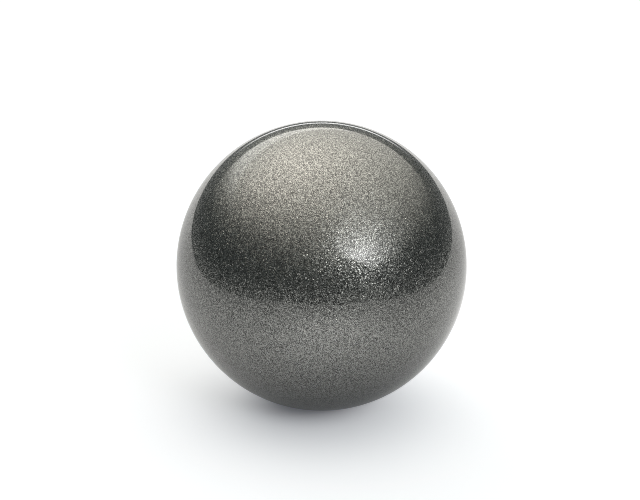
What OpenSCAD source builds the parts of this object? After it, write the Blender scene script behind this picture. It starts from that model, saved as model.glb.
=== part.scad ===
// Trackball ball: a loose replacement ball for a thumb or finger trackball.
// It is one solid piece, cast in clear resin with fine metallic flake all through it,
// then ground and polished to a true sphere. It has no hole, flat, seam or core.
// Millimetres, +Z up, origin at the centre of the ball.

/* [Ball] */
// Diameter of the finished ball
ball_d = 25; // [16:0.5:60]

/* [Hidden] */

// Facets round the equator in a mesh, a multiple of four so that the mesh
// reaches the full diameter along all three axes
round_facets = 200;

// A half disc with its straight side on the axis: the section that the ball is turned from
module half_disc(d) {
  intersection() {
    circle(d = d, $fn = round_facets);
    translate([0, -d / 2])
      square([d / 2, d]);
  }
}

// The ground sphere, turned about the vertical axis, so that both poles lie on it
module ball() {
  color("dimgray")
    rotate_extrude($fn = round_facets)
      half_disc(ball_d);
}

ball();
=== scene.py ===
import math

import bpy
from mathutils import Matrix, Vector


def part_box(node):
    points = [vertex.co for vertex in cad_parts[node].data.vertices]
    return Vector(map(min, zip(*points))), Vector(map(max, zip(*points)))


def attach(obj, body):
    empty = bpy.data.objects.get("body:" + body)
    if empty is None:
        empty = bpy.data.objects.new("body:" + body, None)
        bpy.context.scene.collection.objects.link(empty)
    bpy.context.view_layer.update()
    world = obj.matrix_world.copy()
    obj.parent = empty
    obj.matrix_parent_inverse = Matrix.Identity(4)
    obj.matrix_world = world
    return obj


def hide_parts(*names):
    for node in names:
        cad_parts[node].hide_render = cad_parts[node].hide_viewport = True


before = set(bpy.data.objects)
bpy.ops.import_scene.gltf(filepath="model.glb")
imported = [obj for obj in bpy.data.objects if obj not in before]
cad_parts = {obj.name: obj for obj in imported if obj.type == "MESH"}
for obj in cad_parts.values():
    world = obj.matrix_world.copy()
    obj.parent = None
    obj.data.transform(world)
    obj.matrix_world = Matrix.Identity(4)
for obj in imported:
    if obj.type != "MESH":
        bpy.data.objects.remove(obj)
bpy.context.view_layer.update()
low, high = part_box("ball")
ballRadius = (high.z - low.z) / 2  # metres, and the ball's centre is the origin
print("frame loaded, ball radius", round(ballRadius, 5))


# Small helpers for node trees. A value may be a number, a colour or vector, or another
# node's output socket, so a whole sum can be written in one line.
def setInput(tree, socket, value):
    if isinstance(value, bpy.types.NodeSocket):
        tree.links.new(value, socket)
    elif value is not None:
        socket.default_value = value


def addNode(tree, kind, inputs=None, **settings):
    node = tree.nodes.new(kind)
    for name, value in settings.items():
        setattr(node, name, value)
    for key, value in (inputs or {}).items():
        setInput(tree, node.inputs[key], value)
    return node


def calc(tree, operation, a, b=None, c=None):
    node = addNode(tree, "ShaderNodeMath", operation=operation)
    for socket, value in zip(node.inputs, (a, b, c)):
        setInput(tree, socket, value)
    return node.outputs[0]


def vectorCalc(tree, operation, a, b=None, scale=None):
    node = addNode(tree, "ShaderNodeVectorMath", operation=operation)
    setInput(tree, node.inputs[0], a)
    if b is not None:
        setInput(tree, node.inputs[1], b)
    if scale is not None:
        setInput(tree, node.inputs["Scale"], scale)
    outlet = "Value" if operation in ("LENGTH", "DOT_PRODUCT", "DISTANCE") else "Vector"
    return node.outputs[outlet]


def splitXyz(tree, vector):
    node = addNode(tree, "ShaderNodeSeparateXYZ", {0: vector})
    return node.outputs[0], node.outputs[1], node.outputs[2]


def joinXyz(tree, x, y, z):
    return addNode(tree, "ShaderNodeCombineXYZ", {0: x, 1: y, 2: z}).outputs[0]


# 0 below start, 1 above end, an S curve between. Start may be the larger of the two.
def ramp(tree, value, start, end):
    node = addNode(tree, "ShaderNodeMapRange", interpolation_type="SMOOTHSTEP")
    if start > end:
        inside = {"Value": value, "From Min": end, "From Max": start, "To Min": 1.0, "To Max": 0.0}
    else:
        inside = {"Value": value, "From Min": start, "From Max": end, "To Min": 0.0, "To Max": 1.0}
    for name, setting in inside.items():
        setInput(tree, node.inputs[name], setting)
    return node.outputs[0]


def product(tree, *values):
    total = values[0]
    for value in values[1:]:
        total = calc(tree, "MULTIPLY", total, value)
    return total


# A bell shaped glow about a place on the sheet or the card; heights don't matter.
def glow(tree, spot, middle, width):
    x, y, _ = splitXyz(tree, spot)
    u = calc(tree, "DIVIDE", calc(tree, "SUBTRACT", x, middle[0]), width[0])
    v = calc(tree, "DIVIDE", calc(tree, "SUBTRACT", y, middle[1]), width[1])
    fall = calc(tree, "MULTIPLY_ADD", u, u, calc(tree, "MULTIPLY", v, v))
    return calc(tree, "EXPONENT", calc(tree, "MULTIPLY", fall, -1.0))


# The ball: six square grids, each bent onto the sphere, so the mesh has no poles and
# its squares are all nearly the same size.
ballShape = {
    "squaresPerSide": 96,  # of each of the six faces; an even number reaches the full diameter
    "uvMargin": 0.004,     # gap left round each face in the UV map
    "seamGap": 1e-6,       # metres; points closer than this are one
}


def ballTree():
    standing = 4           # faces that stand round the ball; the other two lie above and below
    perRow, rows = 3, 2    # how the six faces lie in the UV map
    quarter = math.pi / 2
    tree = bpy.data.node_groups.new("polishedBallShape", "GeometryNodeTree")
    face = tree.interface
    face.new_socket("Geometry", in_out="INPUT", socket_type="NodeSocketGeometry")
    face.new_socket("Geometry", in_out="OUTPUT", socket_type="NodeSocketGeometry")
    face.new_socket("Radius", in_out="INPUT", socket_type="NodeSocketFloat")
    face.new_socket("Squares per side", in_out="INPUT", socket_type="NodeSocketInt")
    face.new_socket("UV margin", in_out="INPUT", socket_type="NodeSocketFloat")
    face.new_socket("Finish", in_out="INPUT", socket_type="NodeSocketMaterial")
    given = addNode(tree, "NodeGroupInput").outputs

    # one flat face, a quarter turn wide each way, one unit from the centre
    sides = calc(tree, "ADD", given["Squares per side"], 1.0)
    grid = addNode(tree, "GeometryNodeMeshGrid",
                   {"Size X": 1.0, "Size Y": 1.0, "Vertices X": sides, "Vertices Y": sides})
    withUv = addNode(tree, "GeometryNodeStoreNamedAttribute",
                     {"Geometry": grid.outputs["Mesh"], "Name": "faceUv",
                      "Value": grid.outputs["UV Map"]},
                     data_type="FLOAT2", domain="CORNER")
    x, y, _ = splitXyz(tree, addNode(tree, "GeometryNodeInputPosition").outputs[0])
    bentX = calc(tree, "TANGENT", calc(tree, "MULTIPLY", x, quarter))
    bentY = calc(tree, "TANGENT", calc(tree, "MULTIPLY", y, quarter))
    flat = addNode(tree, "GeometryNodeSetPosition",
                   {"Geometry": withUv.outputs[0], "Position": joinXyz(tree, bentX, bentY, 1.0)})

    # six copies, four turned to the sides, one up and one down
    starts = addNode(tree, "GeometryNodeMeshLine",
                     {"Count": perRow * rows, "Offset": (0.0, 0.0, 0.0)})
    index = addNode(tree, "GeometryNodeInputIndex").outputs[0]
    number = addNode(tree, "GeometryNodeStoreNamedAttribute",
                     {"Geometry": starts.outputs[0], "Name": "faceNumber", "Value": index},
                     data_type="FLOAT", domain="POINT")
    stands = calc(tree, "LESS_THAN", index, standing - 0.5)
    isBottom = calc(tree, "GREATER_THAN", index, standing + 0.5)
    tip = calc(tree, "MULTIPLY_ADD", isBottom, math.pi, calc(tree, "MULTIPLY", stands, quarter))
    turn = product(tree, index, quarter, stands)
    copies = addNode(tree, "GeometryNodeInstanceOnPoints",
                     {"Points": number.outputs[0], "Instance": flat.outputs[0],
                      "Rotation": joinXyz(tree, tip, 0.0, turn)})
    loose = addNode(tree, "GeometryNodeRealizeInstances", {"Geometry": copies.outputs[0]})

    # out to the radius, and the seams closed
    place = addNode(tree, "GeometryNodeInputPosition").outputs[0]
    outward = vectorCalc(tree, "NORMALIZE", place)
    sphere = addNode(tree, "GeometryNodeSetPosition",
                     {"Geometry": loose.outputs[0],
                      "Position": vectorCalc(tree, "SCALE", outward, scale=given["Radius"])})
    closed = addNode(tree, "GeometryNodeMergeByDistance",
                     {"Geometry": sphere.outputs[0], "Distance": ballShape["seamGap"]})

    # the UV map: the faces lie three by two, each inside its own margin
    uv = addNode(tree, "GeometryNodeInputNamedAttribute", {"Name": "faceUv"},
                 data_type="FLOAT_VECTOR")
    which = addNode(tree, "GeometryNodeInputNamedAttribute", {"Name": "faceNumber"},
                    data_type="FLOAT")
    u, v, _ = splitXyz(tree, uv.outputs[0])
    faceNumber = calc(tree, "ROUND", which.outputs[0])
    row = calc(tree, "GREATER_THAN", faceNumber, perRow - 0.5)
    column = calc(tree, "MULTIPLY_ADD", row, -perRow, faceNumber)
    margin = given["UV margin"]
    inset = calc(tree, "MULTIPLY_ADD", margin, -2.0, 1.0)
    insideU = calc(tree, "MULTIPLY_ADD", u, inset, margin)
    insideV = calc(tree, "MULTIPLY_ADD", v, inset, margin)
    mapU = calc(tree, "DIVIDE", calc(tree, "ADD", insideU, column), perRow)
    mapV = calc(tree, "DIVIDE", calc(tree, "ADD", insideV, row), rows)
    mapped = addNode(tree, "GeometryNodeStoreNamedAttribute",
                     {"Geometry": closed.outputs[0], "Name": "OFBake",
                      "Value": joinXyz(tree, mapU, mapV, 0.0)},
                     data_type="FLOAT2", domain="CORNER")
    smooth = addNode(tree, "GeometryNodeSetShadeSmooth", {"Geometry": mapped.outputs[0]})
    real = addNode(tree, "GeometryNodeRealizeInstances", {"Geometry": smooth.outputs[0]})
    finished = addNode(tree, "GeometryNodeSetMaterial",
                       {"Geometry": real.outputs[0], "Material": given["Finish"]})
    addNode(tree, "NodeGroupOutput", {"Geometry": finished.outputs[0]})
    return tree


def makeBall(finish):
    blank = bpy.data.objects.new("polished_ball", bpy.data.meshes.new("ballBlank"))
    bpy.context.scene.collection.objects.link(blank)
    modifier = blank.modifiers.new("shape", "NODES")
    modifier.node_group = ballTree()
    values = {"Radius": ballRadius, "Squares per side": ballShape["squaresPerSide"],
              "UV margin": ballShape["uvMargin"], "Finish": finish}
    for socket in modifier.node_group.interface.items_tree:
        if socket.in_out == "INPUT" and socket.name in values:
            modifier[socket.identifier] = values[socket.name]
    depsgraph = bpy.context.evaluated_depsgraph_get()
    mesh = bpy.data.meshes.new_from_object(blank.evaluated_get(depsgraph), depsgraph=depsgraph)
    mesh.name = "polishedBall"
    blank.modifiers.remove(modifier)
    blank.data = mesh
    for spare in ("faceUv", "faceNumber"):
        if spare in mesh.attributes:
            mesh.attributes.remove(mesh.attributes[spare])
    return blank


# The resin: dark and nearly neutral, full of metal flake finer than a tenth of a millimetre.
# Each flake has its own tilt and brightness, under one smooth clear surface.
flakeResin = {
    "colour": (0.205, 0.209, 0.199),
    "flakeSize": 0.000055,     # metres across a fine flake
    "flakeTilt": 0.30,         # spread of the flakes' tilt about the surface
    "strayShare": 0.24,        # this share of them lies askew,
    "strayTilt": 2.4,          # this many times as far
    "flakeShine": 0.24,        # roughness of one flake
    "spread": 1.2,             # 0 makes all flakes equally bright; more makes a few much brighter
    "edgeTint": 0.57,          # the flakes shine less at a grazing angle than bare metal does
    "polish": 0.02,            # roughness of the clear surface
    "clearIor": 1.5,
}


def flakeFinish():
    material = bpy.data.materials.new("flakeResin")
    material.use_nodes = True
    tree = material.node_tree
    tree.nodes.clear()
    place = addNode(tree, "ShaderNodeTexCoord").outputs["Object"]
    cell = addNode(tree, "ShaderNodeTexVoronoi",
                   {"Vector": place, "Scale": 1 / flakeResin["flakeSize"], "Randomness": 1.0},
                   voronoi_dimensions="3D", feature="F1")
    luck = addNode(tree, "ShaderNodeTexWhiteNoise", {"Vector": cell.outputs["Position"]},
                   noise_dimensions="3D")
    spread = flakeResin["spread"]
    level = product(tree, calc(tree, "POWER", luck.outputs["Value"], spread), spread + 1.0)
    colour = vectorCalc(tree, "SCALE", flakeResin["colour"], scale=level)
    halfWay = (0.5, 0.5, 0.5)    # the middle of a cell's random colour
    offset = vectorCalc(tree, "SUBTRACT", cell.outputs["Color"], halfWay)
    _, chance, _ = splitXyz(tree, luck.outputs["Color"])
    stray = calc(tree, "LESS_THAN", chance, flakeResin["strayShare"])
    lean = calc(tree, "MULTIPLY_ADD", stray, flakeResin["strayTilt"] - 1.0, 1.0)
    tilt = vectorCalc(tree, "SCALE", offset, scale=product(tree, lean, flakeResin["flakeTilt"]))
    surface = addNode(tree, "ShaderNodeNewGeometry").outputs["Normal"]
    normal = vectorCalc(tree, "NORMALIZE", vectorCalc(tree, "ADD", surface, tilt))
    edge = flakeResin["edgeTint"]
    shader = addNode(tree, "ShaderNodeBsdfPrincipled",
                     {"Base Color": colour, "Metallic": 1.0, "Roughness": flakeResin["flakeShine"],
                      "Normal": normal, "Specular Tint": (edge, edge, edge, 1.0),
                      "Coat Weight": 1.0, "Coat Roughness": flakeResin["polish"],
                      "Coat IOR": flakeResin["clearIor"]})
    addNode(tree, "ShaderNodeOutputMaterial", {"Surface": shader.outputs[0]})
    return material


ball = makeBall(flakeFinish())
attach(ball, "root")
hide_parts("ball")
print("ball made,", len(ball.data.polygons), "faces")


# The floor: a pale card that flares out behind the ball, with a notch straight behind it.
# The camera sees it a little lighter than the ball does, so that it runs into the white
# all round it.
card = {
    # metres, from the front corner out to the far one and back to the notch
    "rightSide": ((0.050, -0.084), (0.066, -0.034), (0.082, 0.003), (0.099, 0.032), (0.127, 0.064),
                  (0.340, 0.430), (0.80, 1.35), (1.20, 2.30), (0.748, 1.86), (0.203, 0.738),
                  (0.103, 0.555), (0.040, 0.382)),
    "notch": (0.0, 0.340),
    # and the other way, from the notch
    "leftSide": ((-0.031, 0.300), (-0.165, 0.607), (-0.748, 1.86), (-1.20, 2.30), (-0.298, 0.348),
                 (-0.158, 0.110), (-0.127, 0.064), (-0.100, 0.033), (-0.082, 0.003),
                 (-0.050, -0.084)),
    # the card's colour carries a painted shadow under the ball and painted pools of light
    "nearColour": (0.485, 0.50, 0.53),
    "farColour": (0.86, 0.88, 0.92),
    "nearMiddle": (0.0, 0.0),        # painted shadow: the card's colour is darkest here, under the ball,
    "nearWidth": 0.13,               # and half way to its far colour at this distance
    "pool": 0.74,                    # a painted pool of light in front of the ball, this much brighter,
    "poolMiddle": (0.003, -0.032),
    "poolWidth": (0.018, 0.018),
    "sides": 0.48,                   # and a second painted pool of light that shows beside and behind it
    "sidesMiddle": (0.014, 0.016),
    "sidesWidth": (0.045, 0.024),
    "shineLift": 0.05,               # what the ball's shine sees beyond its colour
    "seenColour": (0.868, 0.915, 0.975),
    "seenLift": (0.055, 0.055, 0.065),    # added to what the camera sees,
    "paintedFill": 0.238,                   # painted fill light, glowing in the ball's shadow: more of it in a ring close round the ball,
    "paintedFillLean": 7.8,                 # and more to the right, for each metre
    "paintedFillMiddle": (-0.0013, 0.0),
    "paintedFillRise": (0.0012, 0.0072),    # the ring comes in from the first distance to the second,
    "paintedFillFall": (0.027, 0.003),      # and is gone at the first of these, full at the second
}


def makeCard():
    mesh = bpy.data.meshes.new("card")
    outline = (*card["rightSide"], card["notch"], *card["leftSide"])
    mesh.from_pydata([(x, y, low.z) for x, y in outline], [], [range(len(outline))])
    floor = bpy.data.objects.new("card", mesh)
    bpy.context.scene.collection.objects.link(floor)

    material = bpy.data.materials.new("whiteCard")
    material.use_nodes = True
    tree = material.node_tree
    tree.nodes.clear()
    place = addNode(tree, "ShaderNodeTexCoord").outputs["Object"]
    # painted shadow: the card's colour darkens towards the place under the ball
    away = vectorCalc(tree, "DISTANCE", place, (*card["nearMiddle"], low.z))
    square = calc(tree, "POWER", away, 2.0)
    share = calc(tree, "DIVIDE", square, calc(tree, "ADD", square, card["nearWidth"] ** 2))
    colour = addNode(tree, "ShaderNodeMix",
                     {"Factor": share, "A": card["nearColour"], "B": card["farColour"]},
                     data_type="VECTOR")
    # painted pools of light in front of and beside the ball, in the card's colour
    brighter = 1.0
    for light in ("pool", "sides"):
        spread = glow(tree, place, card[light + "Middle"], card[light + "Width"])
        brighter = calc(tree, "MULTIPLY_ADD", spread, card[light], brighter)
    plain = addNode(tree, "ShaderNodeBsdfDiffuse",
                    {"Color": vectorCalc(tree, "SCALE", colour.outputs[1], scale=brighter)})
    shine = addNode(tree, "ShaderNodeEmission", {"Strength": card["shineLift"]})
    lit = addNode(tree, "ShaderNodeAddShader", {0: plain.outputs[0], 1: shine.outputs[0]})

    # painted fill light: a glow in the shadow, in a ring round the ball, that only the camera sees
    out = vectorCalc(tree, "DISTANCE", place, (*card["paintedFillMiddle"], low.z))
    ring = product(tree, ramp(tree, out, *card["paintedFillRise"]), ramp(tree, out, *card["paintedFillFall"]))
    x, _, _ = splitXyz(tree, place)
    paintedFill = product(tree, calc(tree, "MULTIPLY_ADD", x, card["paintedFillLean"], card["paintedFill"]), ring)
    shown = addNode(tree, "ShaderNodeBsdfDiffuse", {"Color": (*card["seenColour"], 1.0)})
    paintedFillAndLift = vectorCalc(tree, "ADD", joinXyz(tree, paintedFill, paintedFill, paintedFill), card["seenLift"])
    lift = addNode(tree, "ShaderNodeEmission", {"Color": paintedFillAndLift})
    seen = addNode(tree, "ShaderNodeAddShader", {0: shown.outputs[0], 1: lift.outputs[0]})
    path = addNode(tree, "ShaderNodeLightPath")
    mirrored = calc(tree, "MAXIMUM", path.outputs["Is Glossy Ray"], path.outputs["Is Transmission Ray"])
    inShine = addNode(tree, "ShaderNodeMixShader",
                      {0: mirrored, 1: plain.outputs[0], 2: lit.outputs[0]})
    mixed = addNode(tree, "ShaderNodeMixShader",
                    {0: path.outputs["Is Camera Ray"], 1: inShine.outputs[0], 2: seen.outputs[0]})
    addNode(tree, "ShaderNodeOutputMaterial", {"Surface": mixed.outputs[0]})
    mesh.materials.append(material)


makeCard()
print("card laid")


# The light comes from a wide sheet of cloth overhead. Places on it are given in heights
# above the ball: to the right, then away from the camera.
softbox = {
    "backEdge": 2.92,
    "backLean": -0.06,             # the back edge comes nearer to the right, for each height across
    "backBlur": 0.12,
    "hotMiddle": (-0.34, 0.39),    # where its lamp shines through
    "hotWidth": (0.79, 0.80),
    "hotLight": (1.29, 1.18, 1.07),
    "wideMiddle": (0.16, 2.56),
    "wideWidth": (1.70, 3.33),
    "wideLight": (1.53, 1.47, 1.34),
    "flapFront": 2.33,             # a brighter flap along the back edge, at the left:
    "flapLean": 1.1,               # its front edge goes back this far for each height across
    "flapBlur": 0.10,
    "flapLeft": (-2.0, -1.1),
    "flapLight": (1.2, 1.2, 1.14),
}
# a smaller, cooler panel at the front right
panel = {
    "frontEdge": (1.19, -2.13),    # a place on its front edge,
    "turn": -35.0,                 # and that edge's turn from left to right, in degrees
    "left": 0.30,
    "right": 2.87,
    "edgeBlur": 0.08,
    "middle": (1.06, -2.36),       # brightest here
    "width": (0.90, 0.80),         # along the front edge, and across
    "fall": 1.3,                   # 2 gives a round bell, less a point with a wide skirt
    "light": (6.9, 6.9, 6.9),
    "lampMiddle": (1.15, -1.65),   # its lamp shows through
    "lampWidth": (0.41, 0.41),
    "lampLight": (4.0, 4.0, 4.0),
}
# the walls, with a thin white line low on the one behind
room = {
    "front": (0.088, 0.100, 0.100),
    "back": (0.10, 0.112, 0.112),
    "turnsBack": (0.3, 0.9),       # how far round the first gives way to the second
    "horizon": 0.001,              # the sheet and the panel stop this near the level
    "lineNear": (8.55, 12.35),     # the line comes in over these heights away,
    "lineFar": (28.6, 15.4),       # is gone at the first of these and full at the second,
    "lineEnds": (4.3, 2.3),        # and the same to either side
    "lineLight": (2.5, 2.5, 2.5),
}


def makeStudio():
    world = bpy.data.worlds.new("studio")
    bpy.context.scene.world = world
    world.use_nodes = True
    tree = world.node_tree
    tree.nodes.clear()
    towards = addNode(tree, "ShaderNodeTexCoord").outputs["Generated"]
    x, y, z = splitXyz(tree, towards)
    height = calc(tree, "MAXIMUM", z, room["horizon"])
    above = calc(tree, "GREATER_THAN", z, room["horizon"])
    across = calc(tree, "DIVIDE", x, height)
    along = calc(tree, "DIVIDE", y, height)
    spot = joinXyz(tree, across, along, 0.0)

    blur = softbox["backBlur"]
    squared = calc(tree, "MULTIPLY_ADD", across, -softbox["backLean"], along)
    sheet = product(tree, above,
                    ramp(tree, squared, softbox["backEdge"] + blur, softbox["backEdge"] - blur))
    hot = product(tree, sheet, glow(tree, spot, softbox["hotMiddle"], softbox["hotWidth"]))
    wide = product(tree, sheet, glow(tree, spot, softbox["wideMiddle"], softbox["wideWidth"]))
    pastFlap = calc(tree, "MULTIPLY_ADD", across, -softbox["flapLean"], along)
    front, blur = softbox["flapFront"], softbox["flapBlur"]
    flap = product(tree, sheet, ramp(tree, pastFlap, front - blur, front + blur),
                   ramp(tree, across, *softbox["flapLeft"]))

    turn = math.radians(panel["turn"])
    alongEdge = (math.cos(turn), math.sin(turn), 0.0)
    acrossEdge = (-math.sin(turn), math.cos(turn), 0.0)
    blur = panel["edgeBlur"]
    fromEdge = vectorCalc(tree, "SUBTRACT", spot, (*panel["frontEdge"], 0.0))
    inside = product(tree, above,
                     ramp(tree, vectorCalc(tree, "DOT_PRODUCT", fromEdge, acrossEdge), -blur, blur),
                     ramp(tree, across, panel["left"] - blur, panel["left"] + blur),
                     ramp(tree, across, panel["right"] + blur, panel["right"] - blur))
    fromMiddle = vectorCalc(tree, "SUBTRACT", spot, (*panel["middle"], 0.0))
    widthAlong, widthAcross = panel["width"]
    u = calc(tree, "DIVIDE", vectorCalc(tree, "DOT_PRODUCT", fromMiddle, alongEdge), widthAlong)
    v = calc(tree, "DIVIDE", vectorCalc(tree, "DOT_PRODUCT", fromMiddle, acrossEdge), widthAcross)
    far = calc(tree, "POWER", vectorCalc(tree, "LENGTH", joinXyz(tree, u, v, 0.0)), panel["fall"])
    side = product(tree, inside, calc(tree, "EXPONENT", calc(tree, "MULTIPLY", far, -1.0)))
    lamp = product(tree, inside, glow(tree, spot, panel["lampMiddle"], panel["lampWidth"]))

    # the thin line that the ball's far edge mirrors
    line = product(tree, above, ramp(tree, along, *room["lineNear"]),
                   ramp(tree, along, *room["lineFar"]),
                   ramp(tree, calc(tree, "ABSOLUTE", across), *room["lineEnds"]))

    walls = addNode(tree, "ShaderNodeMix",
                    {"Factor": ramp(tree, y, *room["turnsBack"]), "A": room["front"],
                     "B": room["back"]}, data_type="VECTOR")
    total = walls.outputs[1]
    for level, light in ((hot, softbox["hotLight"]), (wide, softbox["wideLight"]),
                         (flap, softbox["flapLight"]), (side, panel["light"]),
                         (lamp, panel["lampLight"]), (line, room["lineLight"])):
        total = vectorCalc(tree, "ADD", total, vectorCalc(tree, "SCALE", light, scale=level))

    path = addNode(tree, "ShaderNodeLightPath")
    seen = addNode(tree, "ShaderNodeMix",
                   {"Factor": path.outputs["Is Camera Ray"], "A": total, "B": (1.0, 1.0, 1.0)},
                   data_type="VECTOR")
    light = addNode(tree, "ShaderNodeBackground", {"Color": seen.outputs[1], "Strength": 1.0})
    addNode(tree, "ShaderNodeOutputWorld", {"Surface": light.outputs[0]})


makeStudio()
print("studio made")


shot = {
    "elevation": 20.0,      # degrees the camera looks down
    "lens": 135.0,          # millimetres
    "sensor": 36.0,
    "nearest": 0.001,       # metres; nothing nearer is drawn
    "pictureWidth": 640,    # pixels
    "ballAcross": 290.3,    # pixels
    "ballRight": 1.6,       # pixels from the middle of the picture
    "ballDown": 15.6,
}


def makeCamera():
    data = bpy.data.cameras.new("camera")
    camera = bpy.data.objects.new("camera", data)
    bpy.context.scene.collection.objects.link(camera)
    bpy.context.scene.camera = camera
    data.lens = shot["lens"]
    data.sensor_width = shot["sensor"]
    data.clip_start = shot["nearest"]
    focal = shot["lens"] / shot["sensor"] * shot["pictureWidth"]  # pixels
    distance = ballRadius / math.sin(math.atan(shot["ballAcross"] / 2 / focal))
    lookDown = math.radians(shot["elevation"])
    back = Vector((0.0, -math.cos(lookDown), math.sin(lookDown)))
    upward = Vector((0.0, math.sin(lookDown), math.cos(lookDown)))
    right = Vector((1.0, 0.0, 0.0))
    pixel = distance / focal    # metres across one pixel, at the ball
    target = (upward * shot["ballDown"] - right * shot["ballRight"]) * pixel
    camera.location = target + back * distance
    camera.rotation_mode = "QUATERNION"
    camera.rotation_quaternion = (-back).to_track_quat("-Z", "Y")


makeCamera()
print("camera set")

scene = bpy.context.scene
scene.view_settings.view_transform = "Standard"
scene.cycles.filter_width = 1.0             # keeps the flakes crisp,
scene.cycles.denoising_prefilter = "NONE"   # and so does this

print("done")
